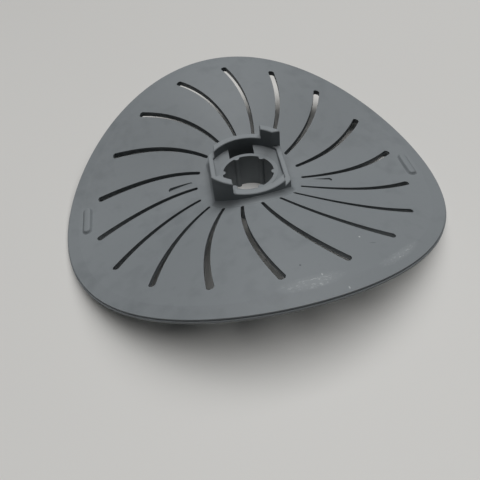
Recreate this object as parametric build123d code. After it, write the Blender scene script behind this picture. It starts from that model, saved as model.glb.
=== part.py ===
from build123d import *
import os
from math import atan2, cos, exp, hypot, pi, radians, sin, sqrt

# Blade guard for a cooking blender: one moulding in grey plastic, a slotted saddle-shaped disc
# with a bayonet hub in the middle. X runs along the two low sides, Y along the two high sides,
# and Z is the hub's axis, with zero on the surface that the guard stands on.

# Disc, in millimetres, measured across its low sides and across its high sides
disc_low_width = 132.2
disc_high_width = 130.0
plate_thickness = 1.8
low_side_drop = 6.75
high_side_rise = 13.95
crest_inset = 3.0
trough_margin = 1.9
centre_blend_radius = 9.0
rest_clearance = 0.05
grid_margin = 3.0
grid_steps = 24
grid_tolerance = 0.02

# Rim: a narrow band turns down, and the upper part of the edge stands back from a lower lip
band_width = 4.0
band_drop = 0.4
lip_step = 0.35
lip_thickness = 0.7

# Slots
slot_count = 18
slot_first_angle = 10.5
slot_hub_gap = 2.15
slot_rim_margin = 9.5
slot_sweep = 15.9
slot_mid_sweep = 7.55
slot_inner_width = 1.1
slot_outer_width = 2.3
slot_outer_corner = 0.6
slot_inner_corner = 0.35

# Raised pads near the rim, one on each low side
pad_rim_margin = 7.5
pad_angle = -3.5
pad_length = 9.6
pad_width = 2.8
pad_height = 0.4
pad_corner = 0.6
pad_edge = 0.25

# Sloping pockets between the slots, one on each low side
pocket_slot_inset = 2.1
pocket_length = 8.6
pocket_width = 2.0
pocket_depth = 0.8
pocket_offset_angle = -27.0

# Socket in the hub: a tube with six ridges
socket_bore_radius = 8.8
socket_wall = 1.4
socket_rim_height = 4.05
ridge_count = 6
ridge_radius = 1.0
ridge_first_angle = -10.0
ridge_reach = 0.9

# Hub ring: a round wall with two flats. Heights are above the middle of the saddle.
hub_turn = -5.0
socket_flat_gap = 1.0
hub_flat_wall = 1.75
hub_round_reach = 3.2
hub_wall = 2.45
flat_wall_height = 6.1
rim_wall_height = 8.4
hook_height = 12.3
hook_side = 6.65
hook_flat_overlap = 0.45
rim_wall_setback = 0.6
hub_edge = 0.25

# Ledges that carry the socket in the ring and slope down to it like a funnel
ledge_height = 5.2
ledge_thickness = 2.0
ledge_step = 0.1
ledge_overlap = 0.5
window_long_side = 5.4
window_short_side = 3.6

# Worked out from the above
side_radius = disc_low_width / 2
rim_radius = disc_high_width / 2
crest_radius = rim_radius - crest_inset
trough_radius = side_radius + trough_margin
socket_outer_radius = socket_bore_radius + socket_wall
hub_flat_inner = socket_outer_radius + socket_flat_gap
hub_flat_half = hub_flat_inner + hub_flat_wall
hub_outer_radius = hub_flat_half + hub_round_reach
hub_inner_radius = hub_outer_radius - hub_wall
slot_inner_radius = hub_outer_radius + slot_hub_gap
slot_middle_radius = (slot_inner_radius + rim_radius - slot_rim_margin) / 2
slot_outer_radius = rim_radius - slot_rim_margin
pad_radius = side_radius - pad_rim_margin
hook_end = sqrt(hub_outer_radius**2 - hub_flat_half**2) - hook_flat_overlap
rim_wall_end = hub_flat_inner - rim_wall_setback
ledge_inner_radius = socket_outer_radius - ledge_overlap
tool_height = 4 * (low_side_drop + high_side_rise)
tool_span = disc_low_width + disc_high_width


def low_curve(radius):
    """Fall of the plate along the low sides, at a distance from the axis."""
    return -low_side_drop * (1 - cos(pi * radius / trough_radius)) / 2


def high_curve(radius):
    """Rise of the plate along the high sides, at a distance from the axis."""
    return high_side_rise * sin(pi / 2 * radius / crest_radius)


centre_height = plate_thickness + rest_clearance - low_curve(side_radius)


def plate_top(x, y):
    """Height of the plate's upper face: low along X, high along Y, level in the middle."""
    radius = hypot(x, y)
    low_share = cos(atan2(y, x)) ** 2
    blend = 1 - exp(-((radius / centre_blend_radius) ** 2))
    bend = low_share * low_curve(radius) + (1 - low_share) * high_curve(radius)
    return centre_height + blend * bend


def polar(radius, angle):
    """Point in plan at a radius and an angle in degrees."""
    return Vector(radius * cos(radians(angle)), radius * sin(radians(angle)))


def sheet(height, reach, steps):
    """Smooth face through a square grid of heights, reaching equally far both ways."""
    ticks = [reach * (2 * step / steps - 1) for step in range(steps + 1)]
    rows = [[Vector(x, y, height(x, y)) for y in ticks] for x in ticks]
    return Face.make_surface_from_array_of_points(rows, tol=grid_tolerance, min_deg=3, max_deg=3)


def layer(face, above, below):
    """Solid between two copies of a sheet, above and below it."""
    return extrude(Pos(0, 0, above) * face, amount=above + below, dir=(0, 0, -1))


def column(outline, bottom, top):
    """Straight solid over a plan outline, between two heights."""
    return extrude(Pos(0, 0, bottom) * outline, amount=top - bottom)


def post(outline):
    """Straight solid over a plan outline, taller than the whole guard both ways."""
    return column(outline, -tool_height, tool_height)


def block(x_from, x_to, y_from, y_to):
    """Plan rectangle between two sides in X and two in Y."""
    middle = Pos((x_from + x_to) / 2, (y_from + y_to) / 2)
    return middle * Rectangle(x_to - x_from, y_to - y_from)


def rim_outline(inset):
    """Plan outline of the disc's rim, drawn in by a distance."""
    return Ellipse(side_radius - inset, rim_radius - inset)


def hub_outline(radius, flat):
    """Plan outline of the hub: a circle with two flats."""
    return Rot(0, 0, hub_turn) * (Circle(radius) & Rectangle(2 * flat, tool_span))


def slot_arc():
    """Middle line of a slot, which leaves the hub along X."""
    start = polar(slot_inner_radius, 0)
    middle = polar(slot_middle_radius, slot_mid_sweep)
    return ThreePointArc(start, middle, polar(slot_outer_radius, slot_sweep))


def along_slot(start, end, start_width, end_width):
    """Tapered plan outline on a slot's middle line, between two shares of its length."""
    arc = slot_arc()

    def beside(share, width):
        along = arc.tangent_at(share)
        return arc.position_at(share) + Vector(-along.Y, along.X) * (width / 2)

    middle = (start + end) / 2
    width = (start_width + end_width) / 2
    left = ThreePointArc(beside(start, start_width), beside(middle, width), beside(end, end_width))
    right = ThreePointArc(beside(end, -end_width), beside(middle, -width), beside(start, -start_width))
    outer_end = Line(left @ 1, right @ 0)
    inner_end = Line(right @ 1, left @ 0)
    outline = make_face([left, outer_end, right, inner_end])
    corners = outline.vertices().sort_by_distance(outer_end @ 0.5)
    outline = chamfer(corners[:2], slot_outer_corner)
    corners = outline.vertices().sort_by_distance(inner_end @ 0.5)
    return chamfer(corners[:2], slot_inner_corner)


def plate_outline(inset):
    """Plan outline of the disc, with its pinwheel of slots and the hole for the hub."""
    slot = along_slot(0, 1, slot_inner_width, slot_outer_width)
    turns = [slot_first_angle + step * 360 / slot_count for step in range(slot_count)]
    outline = rim_outline(inset) - [Rot(0, 0, turn) * slot for turn in turns]
    return outline - hub_outline(hub_inner_radius, hub_flat_inner)


def upper_face(solid):
    """The upper one of the two largest faces, which lie along the saddle."""
    return solid.faces().sort_by(SortBy.AREA)[-2:].sort_by(Axis.Z)[-1]


def plate(face):
    """Slotted disc whose rim turns down in a band, over a thin lip round its lower edge."""
    lip = rim_outline(0) - rim_outline(lip_step)
    lip_top = lip_thickness - plate_thickness
    disc = post(plate_outline(lip_step)) & layer(face, 0, plate_thickness)
    top = upper_face(disc)
    disc = chamfer(top.outer_wire().edges(), band_width, band_drop, reference=top)
    return disc + (post(lip) & layer(face, lip_top, plate_thickness))


def pads(face):
    """Raised pads on the two low sides."""
    outline = Pos(pad_radius, 0) * Rectangle(pad_width, pad_length)
    outline = chamfer(outline.vertices(), pad_corner)
    pad = layer(face, pad_height, plate_thickness / 2) & post(Rot(0, 0, pad_angle) * outline)
    pad = chamfer(upper_face(pad).edges(), pad_edge)
    return [pad, Rot(0, 0, 180) * pad]


def pockets():
    """Cutters for the sloping pockets, level with the plate at their inner end."""
    arc = slot_arc()
    turn = slot_first_angle + pocket_offset_angle
    start = pocket_slot_inset / arc.length
    end = (pocket_slot_inset + pocket_length) / arc.length
    inner = arc.position_at(start)
    outer = arc.position_at(end)
    inner_turned = inner.rotate(Axis.Z, turn)
    outer_turned = outer.rotate(Axis.Z, turn)
    floor_start = plate_top(inner_turned.X, inner_turned.Y)
    floor_end = plate_top(outer_turned.X, outer_turned.Y) - pocket_depth
    slope = Polyline(
        (inner.X - pocket_width, floor_start),
        (inner.X, floor_start),
        (outer.X, floor_end),
        (outer.X + pocket_width, floor_end),
        (outer.X + pocket_width, tool_height),
        (inner.X - pocket_width, tool_height),
        close=True,
    )
    plan = along_slot(start, end, pocket_width, pocket_width)
    pocket = extrude(Plane.XZ * make_face(slope), amount=tool_height, both=True) & post(plan)
    return [Rot(0, 0, turn) * pocket, Rot(0, 0, turn + 180) * pocket]


def wall(outline, height):
    """Piece of the hub's wall up to a height above the middle, with its upper edges cut."""
    bottom = plate_top(hub_flat_half, 0) - plate_thickness
    piece = column(outline, bottom, centre_height + height)
    return chamfer(piece.faces().sort_by(Axis.Z)[-1].edges(), hub_edge)


def hub_ring():
    """Wall of the hub: low along the flats, higher front and back, with two tall hooks."""
    plan = hub_outline(hub_outer_radius, hub_flat_half) - hub_outline(hub_inner_radius, hub_flat_inner)
    rim = block(-rim_wall_end, hook_side + hub_wall, 0, tool_span)
    hook = block(hook_side, tool_span, hook_end, tool_span)
    ring = wall(plan, flat_wall_height)
    for turn in (hub_turn, hub_turn + 180):
        ring += wall(plan & (Rot(0, 0, turn) * rim), rim_wall_height)
        ring += wall(plan & (Rot(0, 0, turn) * hook), hook_height)
    return ring


def socket():
    """Ridged tube that stands on the surface below, open at both ends."""
    ridge_axis = socket_bore_radius - ridge_reach + ridge_radius
    outline = Circle(socket_outer_radius) - Circle(socket_bore_radius)
    for step in range(ridge_count):
        angle = hub_turn + ridge_first_angle + step * 360 / ridge_count
        outline += Pos(polar(ridge_axis, angle)) * Circle(ridge_radius)
    return column(outline, 0, centre_height + socket_rim_height)


def ledges():
    """The two ledges between the socket and the ring, with a window between them each side."""
    low = centre_height + socket_rim_height - ledge_step
    high = centre_height + ledge_height
    slope = (high - low) / (hub_inner_radius - socket_outer_radius)
    inner_low = low - slope * ledge_overlap
    profile = Polyline(
        (ledge_inner_radius, inner_low - ledge_thickness),
        (hub_inner_radius + ledge_overlap, high + slope * ledge_overlap - ledge_thickness),
        (hub_inner_radius + ledge_overlap, high + slope * ledge_overlap),
        (ledge_inner_radius, inner_low),
        close=True,
    )
    funnel = revolve(Plane.XZ * make_face(profile), Axis.Z)
    outline = hub_outline(hub_inner_radius + ledge_overlap / 2, hub_flat_inner + ledge_overlap / 2)
    window = block(-window_long_side, window_short_side, 0, tool_span)
    for turn in (hub_turn, hub_turn + 180):
        outline -= Rot(0, 0, turn) * window
    return funnel & post(outline)


def blade_guard():
    """The whole moulding."""
    face = sheet(plate_top, side_radius + grid_margin, grid_steps)
    disc = plate(face) - pockets() + pads(face)
    return disc + hub_ring() + socket() + ledges()


guard = blade_guard()
guard.label = "blade_guard"
os.makedirs("parts", exist_ok=True)
export_step(guard, "parts/blade_guard.step")
print(f"blade_guard: volume {guard.volume:.1f} mm3, box {guard.bounding_box().size}")
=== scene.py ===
# %% [markdown]
# # A blade guard for a blender
#
# The object is one moulding in matte grey plastic: a slotted disc, bent like a saddle, with a
# locking hub in its middle. Its shape is nearly complete in the CAD model. This lesson adds two
# soft details, the foot of the hub and the pads at the sides, and then everything else that makes
# it look real: the camera, the floor, the light, and a plastic with the fine grain, the clouding
# and the scuffs of a guard that has been used.
#
# We start by loading the CAD model as a fixed frame and counting its faces.

# %% Load the CAD model
import bpy
from math import cos, radians, sin
from mathutils import Matrix, Vector


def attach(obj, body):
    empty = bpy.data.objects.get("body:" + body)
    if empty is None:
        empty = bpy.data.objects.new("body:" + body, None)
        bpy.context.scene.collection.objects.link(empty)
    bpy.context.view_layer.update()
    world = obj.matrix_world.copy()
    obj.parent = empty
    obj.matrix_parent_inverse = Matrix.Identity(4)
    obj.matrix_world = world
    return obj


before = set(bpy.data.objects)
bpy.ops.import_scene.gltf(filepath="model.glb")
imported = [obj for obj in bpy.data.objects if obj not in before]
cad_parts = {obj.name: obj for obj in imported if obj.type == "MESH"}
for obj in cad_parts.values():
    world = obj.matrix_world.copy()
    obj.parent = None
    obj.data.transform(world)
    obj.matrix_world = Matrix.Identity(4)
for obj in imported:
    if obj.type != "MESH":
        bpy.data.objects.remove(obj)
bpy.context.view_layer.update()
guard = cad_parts["blade_guard"]
mm = 0.001
print("the guard has", len(guard.data.polygons), "faces")

# %% [markdown]
# ## The camera
#
# The photograph was taken from close by, at arm's length or less. That is why the round disc looks
# like a rounded triangle: its raised front edge is much nearer to the lens than its back edge. A
# camera that is merely turned to the right angle would lose this, so the distance matters as much
# as the direction. The place, the direction and the lens below were found by lining up the
# eighteen slots, the rim and the hub with the photograph.

# %% Place the camera
camera_place = Vector((-24.1, -132.7, 124.7)) * mm
turn_to_right = radians(7.83)
look_down = radians(47.26)
lean = radians(7.18)
turned = Matrix.Rotation(-turn_to_right, 4, "Z")
tipped = Matrix.Rotation(radians(90) - look_down, 4, "X")
leaned = Matrix.Rotation(-lean, 4, "Z")

lens = bpy.data.cameras.new("camera")
lens.sensor_width = 36
lens.lens = 37.83
lens.clip_start = 0.005
camera = bpy.data.objects.new("camera", lens)
camera.matrix_world = Matrix.Translation(camera_place) @ turned @ tipped @ leaned
bpy.context.scene.collection.objects.link(camera)
bpy.context.scene.camera = camera
print("the camera is", round(camera_place.length / mm), "mm from the foot of the hub")

# %% [markdown]
# ## Colours and nodes
#
# Colours are easiest to read off a photograph as sRGB hex values, but shaders work in linear light,
# so one function converts them. A second one adds a shader node: it sets the node's properties and
# fills its inputs, either with plain values or with the outputs of other nodes. Every material
# below is made with these two.

# %% Two helpers for materials
def linear(hex_colour):
    """Linear colour for a shader socket, from an sRGB hex value."""
    shares = [int(hex_colour[at : at + 2], 16) / 255 for at in (1, 3, 5)]
    return [c / 12.92 if c <= 0.04045 else ((c + 0.055) / 1.055) ** 2.4 for c in shares] + [1.0]


def add(tree, kind, inputs, **settings):
    """A new shader node with its settings, and its inputs filled with values or links."""
    made = tree.nodes.new("ShaderNode" + kind)
    for name, value in settings.items():
        setattr(made, name, value)
    for name, value in inputs.items():
        if isinstance(value, bpy.types.NodeSocket):
            tree.links.new(value, made.inputs[name])
        else:
            made.inputs[name].default_value = value
    return made


print("mid grey in linear light:", round(linear("#808080")[0], 3))

# %% [markdown]
# ## The floor
#
# The guard lies on a plain pale surface, close to white and a little warm. A painted board has no
# pattern of its own, only a faint unevenness, so the floor is one large square whose brightness
# drifts by a few percent over some tens of centimetres. It isn't part of the object.

# %% Make the floor
floor_half = 2.0
floor_gap = 0.05 * mm
floor_sides = ((-1, -1), (1, -1), (1, 1), (-1, 1))
corners = [(x * floor_half, y * floor_half, -floor_gap) for x, y in floor_sides]
floor_mesh = bpy.data.meshes.new("floor")
floor_mesh.from_pydata(corners, [], [(0, 1, 2, 3)])
floor = bpy.data.objects.new("floor", floor_mesh)
bpy.context.scene.collection.objects.link(floor)

board = bpy.data.materials.new("painted board, matt white")
board.use_nodes = True
tree = board.node_tree
shader = tree.nodes["Principled BSDF"]
shader.inputs["Roughness"].default_value = 0.6
shader.inputs["Specular IOR Level"].default_value = 0.2
place = add(tree, "TexCoord", {}).outputs["Object"]
drift_size = 300 * mm
drift = add(tree, "TexNoise", {"Vector": place, "Scale": 1 / drift_size, "Detail": 1.0})
shades = add(tree, "ValToRGB", {"Fac": drift.outputs["Fac"]})
shades.color_ramp.elements[0].color = linear("#d9d8d5")
shades.color_ramp.elements[1].color = linear("#dfdedb")
tree.links.new(shades.outputs["Color"], shader.inputs["Base Color"])
floor.data.materials.append(board)
print("the floor is", 2 * floor_half, "m across")

# %% [markdown]
# ## The foot of the hub
#
# Where the hub's wall stands on the plate, the moulding has a hollow curve about two millimetres
# wide. It keeps the corner strong, and in the photograph it blurs the line between wall and plate.
# The CAD model has a plain corner there, so the curve is added as a ring of its own. For each
# direction round the hub, a ray dropped on to the CAD mesh tells how high the plate lies, and a
# hollow slope leads from there up the wall. Along the two flats the curve is smaller. The ring's
# other sides are sunk in the plastic, so it has no edge of its own.

# %% Outline of the hub, and the plate's height beside it
hub_turn = radians(-5.0)
hub_radius = 16.15 * mm
hub_flat_half = 12.95 * mm
clear_of_wall = 0.15 * mm
above_all = 50 * mm


def height_at(x, y):
    """Height of the CAD mesh's upper side at a point in plan."""
    return guard.ray_cast(Vector((x, y, above_all)), Vector((0, 0, -1)))[1].z


def beside_hub(direction, distance):
    """Point in plan at a direction from the hub's axis and a distance outside its wall."""
    to_flat = (hub_flat_half + distance) / max(abs(cos(direction)), 0.001)
    reach = min(hub_radius + distance, to_flat)
    return reach * cos(direction + hub_turn), reach * sin(direction + hub_turn)


def plate_height(direction, distance):
    """Height of the plate beside the hub, read from the CAD mesh just clear of the wall."""
    return height_at(*beside_hub(direction, max(distance, clear_of_wall)))


print("the plate lies", round(plate_height(0, 0) / mm, 1), "mm up beside a flat of the hub")
print("and", round(plate_height(radians(90), 0) / mm, 1), "mm up behind it")

# %% Section of the foot
foot_width = 2.1 * mm
foot_height = 1.8 * mm
foot_hollow = 1.6
sunk = 0.5 * mm
flat_share = 0.4
flat_end = 0.45
round_start = 0.8
curve_steps = 10


def foot_share(direction):
    """Share of the foot's full size: all of it along the round sides, less along the flats."""
    from_flat = (abs(sin(direction)) - flat_end) / (round_start - flat_end)
    return flat_share + (1 - flat_share) * min(max(from_flat, 0), 1)


def foot_section(direction):
    """Distances from the wall and heights above the plate, round the foot's section."""
    width = foot_width * foot_share(direction)
    height = foot_height * foot_share(direction)
    section = []
    for count in range(curve_steps + 1):
        inward = count / curve_steps
        section.append((width * (1 - inward), height * inward**foot_hollow))
    return section + [(-sunk, height), (-sunk, -sunk), (width, -sunk)]


print("the foot's section has", len(foot_section(0)), "points")

# %% Model the foot
def add_piece(name, points, faces):
    """A smooth mesh in the guard's plastic, which belongs to its one body."""
    mesh = bpy.data.meshes.new(name)
    mesh.from_pydata(points, [], faces)
    mesh.shade_smooth()
    piece = bpy.data.objects.new(name, mesh)
    bpy.context.scene.collection.objects.link(piece)
    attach(piece, "root")
    return piece


around = 240
points = []
for step in range(around):
    direction = radians(360 * step / around)
    for distance, lift in foot_section(direction):
        x, y = beside_hub(direction, distance)
        points.append((x, y, plate_height(direction, distance) + lift))

ring = len(points) // around
faces = []
for step in range(around):
    here = step * ring
    there = (step + 1) % around * ring
    for at in range(ring):
        after = (at + 1) % ring
        faces.append((here + at, there + at, there + after, here + after))

hub_foot = add_piece("hub_foot", points, faces)
print("the foot has", len(faces), "faces")

# %% [markdown]
# ## The side pads
#
# Near the rim, on each of the two low sides, lies a short raised bar with round ends. In the CAD
# model it is a low step that marks the place. Here it gets the length, the height and the soft
# slopes that its shading in the photograph shows. Each pad is a stack of outlines, one above the
# other: the lowest is sunk in the plastic, the next ones draw in up the slope, and the last one
# closes the top. The plate's height is read on both sides of the pad, so that the pad follows the
# bent disc.

# %% Outline of a pad, and the plate under it
pad_radius = 58.6 * mm
pad_turn = radians(-3.5)
pad_shift = 0.9 * mm
pad_half_length = 6.3 * mm
pad_half_width = 1.75 * mm
clear_of_pad = 0.5 * mm
end_steps = 12
run_steps = 12


def pad_place(side, along, inward):
    """Point in plan on the pad of a side, from its distances along the pad and to the axis."""
    out = pad_radius - inward
    turn = pad_turn + side
    x = out * cos(turn) - along * sin(turn)
    y = out * sin(turn) + along * cos(turn)
    return x, y + pad_shift


def under_pad(side, along, inward):
    """Height of the plate under a pad, between the heights read on its two long sides."""
    clear = pad_half_width + clear_of_pad
    outer, inner = [height_at(*pad_place(side, along, edge)) for edge in (-clear, clear)]
    return outer + (inner - outer) * (inward + clear) / (2 * clear)


def pad_outline(inset):
    """Points round a pad, drawn in by an inset: two round ends and two straight runs."""
    run = pad_half_length - pad_half_width
    reach = pad_half_width - inset
    turns = [radians(180 * step / end_steps) for step in range(end_steps + 1)]
    steps = [run * (1 - 2 * step / run_steps) for step in range(1, run_steps)]
    end = [(run + reach * sin(turn), -reach * cos(turn)) for turn in turns]
    half = end + [(along, reach) for along in steps]
    return half + [(-along, -inward) for along, inward in half]


print("a pad is", 2 * pad_half_length / mm, "by", 2 * pad_half_width / mm, "mm")
print("and has", len(pad_outline(0)), "points round it")

# %% Model the pads
pad_height = 0.9 * mm
pad_slope = 0.9 * mm
slope_steps = 6
top_strip = 0.1 * mm
levels = [(0.0, -sunk)]
for step in range(slope_steps + 1):
    share = step / slope_steps
    levels.append((pad_slope * share, pad_height * (1 - cos(radians(180 * share))) / 2))
levels.append((pad_half_width - top_strip, pad_height))

side_pads = []
for name, side in (("side_pad_right", 0.0), ("side_pad_left", radians(180))):
    points = []
    for inset, lift in levels:
        for along, inward in pad_outline(inset):
            height = under_pad(side, along, inward) + lift
            points.append((*pad_place(side, along, inward), height))
    ring = len(points) // len(levels)
    faces = [tuple(reversed(range(ring))), tuple(range(len(points) - ring, len(points)))]
    for low in range(0, len(points) - ring, ring):
        for at in range(ring):
            after = (at + 1) % ring
            faces.append((low + at, low + after, low + ring + after, low + ring + at))
    side_pads.append(add_piece(name, points, faces))
print("pads:", [pad.name for pad in side_pads])

# %% [markdown]
# ## The light
#
# In the photograph the tops of things are evenly lit and every wall that faces us is nearly black,
# so the guard's light is broad, comes from above and a little behind, and the room on our side is
# dark. The floor tells another story: its shadow is short and soft, and sits right under the raised
# edge, as under a bright ceiling. Studio photographers get this with separate lights for subject
# and ground, and so do we. Each softbox lights only what is linked to it, but everything casts its
# shadow. Beyond the floor stands a pale backdrop, which is seen but gives no light.

# %% Hang the softboxes
def softbox(name, place, size, power, lit):
    """A square area light that faces the guard, and lights only the objects given."""
    lamp = bpy.data.lights.new(name, "AREA")
    lamp.size = size
    lamp.energy = power
    made = bpy.data.objects.new(name, lamp)
    made.location = place
    made.rotation_euler = (-Vector(place)).to_track_quat("-Z", "Y").to_euler()
    receivers = bpy.data.collections.new("lit by " + name)
    for piece in lit:
        receivers.objects.link(piece)
    made.light_linking.receiver_collection = receivers
    bpy.context.scene.collection.objects.link(made)
    return made


moulding = [guard, hub_foot, *side_pads]
back_box = softbox("back softbox", (0.12, 0.32, 1.0), 0.9, 9.4, moulding)
top_box = softbox("overhead softbox", (0.0, 0.1, 1.1), 0.8, 2.9, moulding)
floor_box = softbox("floor softbox", (0.6, -0.05, 2.5), 3.2, 77.5, [floor])
print("softboxes:", [box.name for box in (back_box, top_box, floor_box)])

# %% Set up the backdrop
backdrop = bpy.data.worlds.new("pale backdrop")
backdrop.use_nodes = True
backdrop.node_tree.nodes["Background"].inputs["Color"].default_value = linear("#bcbcba")
bpy.context.scene.world = backdrop
backdrop.cycles_visibility.diffuse = False
backdrop.cycles_visibility.glossy = False
bpy.context.scene.view_settings.view_transform = "Standard"
print("behind the floor:", backdrop.name)

# %% [markdown]
# ## The plastic
#
# Such guards are moulded in polypropylene, coloured right through with grey pigment. The mould is
# lightly spark-eroded, which leaves a fine matte grain, so the surface shows no sharp reflection.
# Three things keep it from looking like flat paint. The colour clouds a little from place to place
# where the melt flowed and where washing has dulled it. The grain catches the light. And the
# raised front edge, which touches the jug and the sink first, carries pale scuffs and a few specks.
#
# We begin with the colour and its clouding. All the patterns are laid out in the object's own
# coordinates, in metres, so each scale can be worked out from a real size.

# %% The plastic's colour
plastic = bpy.data.materials.new("moulded polypropylene, grey")
plastic.use_nodes = True
tree = plastic.node_tree
shader = tree.nodes["Principled BSDF"]
shader.inputs["IOR"].default_value = 1.49
shader.inputs["Specular IOR Level"].default_value = 0.3
place = add(tree, "TexCoord", {}).outputs["Object"]

cloud_size = 22 * mm
blotch_size = 5 * mm
cloud = add(tree, "TexNoise", {"Vector": place, "Scale": 1 / cloud_size, "Detail": 2.0})
blotch = add(tree, "TexNoise", {"Vector": place, "Scale": 1 / blotch_size, "Detail": 3.0})
clouding = add(tree, "Math", {0: cloud.outputs["Fac"], 1: blotch.outputs["Fac"]}, operation="ADD")
tones = add(tree, "ValToRGB", {"Fac": clouding.outputs["Value"]})
tones.color_ramp.elements[0].position = 0.7
tones.color_ramp.elements[0].color = linear("#74797c")
tones.color_ramp.elements[1].position = 1.0
tones.color_ramp.elements[1].color = linear("#7b8083")
colour = tones.outputs["Color"]
print("clouding over", round(cloud_size / mm), "mm and", round(blotch_size / mm), "mm")

# %% [markdown]
# ### Grain and soft edges
#
# A mould's edges are never perfectly sharp, and a sharp edge in a render looks cut from paper. The
# bevel node rounds the shading over a fifth of a millimetre without touching the shape. The grain
# goes on top as a shallow bump. Real spark-eroded grain is about 0.1 mm, which is far less than a
# pixel here, so it is drawn three times coarser to leave any trace at all.

# %% Bump and roughness
grain_size = 0.3 * mm
grain_depth = 0.03 * mm
edge_radius = 0.2 * mm
grain = add(tree, "TexNoise", {"Vector": place, "Scale": 1 / grain_size, "Detail": 2.0})
soft_edges = add(tree, "Bevel", {"Radius": edge_radius}, samples=6)
relief = add(
    tree,
    "Bump",
    {
        "Strength": 0.3,
        "Distance": grain_depth,
        "Height": grain.outputs["Fac"],
        "Normal": soft_edges.outputs["Normal"],
    },
)
tree.links.new(relief.outputs["Normal"], shader.inputs["Normal"])

gloss = add(tree, "MapRange", {"Value": blotch.outputs["Fac"], "To Min": 0.5, "To Max": 0.66})
tree.links.new(gloss.outputs["Result"], shader.inputs["Roughness"])
print("grain of", grain_size / mm, "mm")

# %% [markdown]
# ### Where the wear and the painted highlight are
#
# Pale marks sit only on faces that look up: on top of the hub as a painted highlight, and along
# the crest of its front edge as wear. To find these places, the shader needs the distance from the
# axis, the distance along the crest, and the direction in which a face looks. With them, a mark is
# an oval: full in its core, and fading out at its edge. Each mark is then painted over the colour
# so far.

# %% Coordinates round the rim
crest_radius = 60 * mm
axes = add(tree, "SeparateXYZ", {"Vector": place}).outputs
angle = add(tree, "Math", {0: axes["Y"], 1: axes["X"]}, operation="ARCTAN2").outputs["Value"]
plan = add(tree, "CombineXYZ", {"X": axes["X"], "Y": axes["Y"]}).outputs["Vector"]
radius = add(tree, "VectorMath", {0: plan}, operation="LENGTH").outputs["Value"]
along = add(tree, "Math", {0: angle, 1: crest_radius}, operation="MULTIPLY").outputs["Value"]
rim_place = add(tree, "CombineXYZ", {"X": along, "Y": radius}).outputs["Vector"]

facing = add(tree, "SeparateXYZ", {"Vector": add(tree, "NewGeometry", {}).outputs["Normal"]})
upward = add(tree, "MapRange", {"Value": facing.outputs["Z"], "From Min": 0.3, "From Max": 0.6})
print("the crest is", round(2 * crest_radius / mm), "mm across")

# %% Ovals and paint
def oval(place, middle, half_size, core):
    """Share of an oval mark: one up to its core, none at its edge and beyond."""
    away = add(tree, "VectorMath", {0: place, 1: middle}, operation="SUBTRACT")
    shares = add(tree, "VectorMath", {0: away.outputs["Vector"], 1: half_size}, operation="DIVIDE")
    reach = add(tree, "VectorMath", {0: shares.outputs["Vector"]}, operation="LENGTH")
    fade = {"Value": reach.outputs["Value"], "From Min": 1.0, "From Max": core}
    return add(tree, "MapRange", fade).outputs["Result"]


def painted(colour, shade, share):
    """The colour with a share of a shade laid over it, on faces that look up."""
    seen = add(tree, "Math", {0: share, 1: upward.outputs["Result"]}, operation="MULTIPLY")
    laid = {0: seen.outputs["Value"], 6: colour, 7: linear(shade)}
    return add(tree, "Mix", laid, data_type="RGBA").outputs[2]


print("the plastic has", len(tree.nodes), "nodes before its marks")

# %% [markdown]
# ### The painted highlight on top of the hub
#
# The rim and the hooks of the hub are painted a little paler than the plate, as a highlight where
# the light from above falls on them. They are the faces that look up, lie high, and are close to
# the axis.

# %% Painted highlight on the hub tops
highlight_low = 14.2 * mm
highlight_high = 14.5 * mm
highlight_inner = 16.0 * mm
highlight_outer = 16.4 * mm
close = add(tree, "MapRange", {"Value": radius, "From Min": highlight_outer, "From Max": highlight_inner})
high = add(tree, "MapRange", {"Value": axes["Z"], "From Min": highlight_low, "From Max": highlight_high})
on_hub = {0: close.outputs["Result"], 1: high.outputs["Result"]}
highlighted = add(tree, "Math", on_hub, operation="MULTIPLY")
# painted highlight: the faces on top of the hub that look up get a paler colour than the plate
colour = painted(colour, "#82878a", highlighted.outputs["Value"])
print("the rubbed faces lie more than", round(highlight_low / mm), "mm up")

# %% [markdown]
# ### Scuffs along the raised edge
#
# The scuffs follow the crest of the front edge in two patches. In the coordinates round the rim,
# each patch is a flat oval. Inside it, noise that is stretched along the rim and kept only at its
# peaks leaves short pale strokes, with a faint haze between them.

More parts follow.
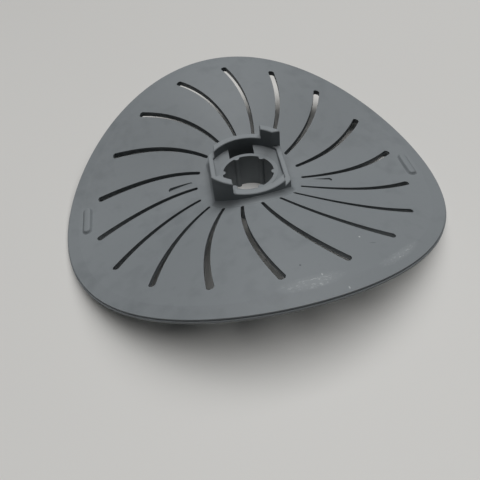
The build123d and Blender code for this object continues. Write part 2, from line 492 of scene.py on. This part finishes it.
# %% Short strokes, stretched along the rim
stroke_length = 1.8 * mm
stroke_width = 0.6 * mm
stretch = (1 / stroke_length, 1 / stroke_width, 1.0)
stroke_place = add(tree, "VectorMath", {0: rim_place, 1: stretch}, operation="MULTIPLY")
stroke_noise = add(
    tree,
    "TexNoise",
    {"Vector": stroke_place.outputs["Vector"], "Scale": 1.0, "Detail": 3.0, "Distortion": 1.5},
)
peaks = {"Value": stroke_noise.outputs["Fac"], "From Min": 0.55, "From Max": 0.72}
strokes = add(tree, "MapRange", peaks).outputs["Result"]
print("strokes of about", stroke_length / mm, "by", stroke_width / mm, "mm")

# %% Two scuffed patches
stroke_share = 0.75
haze_share = 0.13
scuffed = {0: strokes, 1: stroke_share, 2: haze_share}
scuffs = add(tree, "Math", scuffed, operation="MULTIPLY_ADD").outputs["Value"]
patches = [(-87.0, 58.8, 10.0, 2.4), (-60.0, 61.0, 10.0, 1.6)]
for middle_angle, middle_radius, half_length, half_width in patches:
    middle = (radians(middle_angle) * crest_radius, middle_radius * mm, 0.0)
    half_size = (half_length * mm, half_width * mm, 1.0)
    inside = oval(rim_place, middle, half_size, 0.3)
    marked = add(tree, "Math", {0: inside, 1: scuffs}, operation="MULTIPLY")
    colour = painted(colour, "#b2b6b7", marked.outputs["Value"])
print(len(patches), "scuffed patches")

# %% [markdown]
# ### Specks and nicks
#
# A few single marks can be made out in the photograph: three pale specks, one dark dot and one
# short dark scratch, all on the front half. Each is a small oval at its own place in plan.

# %% Single marks
marks = [
    (21.9, -44.1, 0.3, 0.3, "#c4c8c8"),
    (11.6, -62.3, 0.25, 0.5, "#a8adae"),
    (6.3, -56.8, 0.25, 0.45, "#a8adae"),
    (1.9, -52.2, 0.35, 0.4, "#565b60"),
    (24.6, -47.2, 1.2, 0.16, "#5e6368"),
]
for x, y, half_x, half_y, shade in marks:
    half_size = (half_x * mm, half_y * mm, 1.0)
    colour = painted(colour, shade, oval(plan, (x * mm, y * mm, 0.0), half_size, 0.5))
print(len(marks), "single marks")

# %% Send the colour to the shader
tree.links.new(colour, shader.inputs["Base Color"])
guard.data.materials.clear()
for piece in moulding:
    piece.data.materials.append(plastic)
print("the plastic has", len(tree.nodes), "nodes")
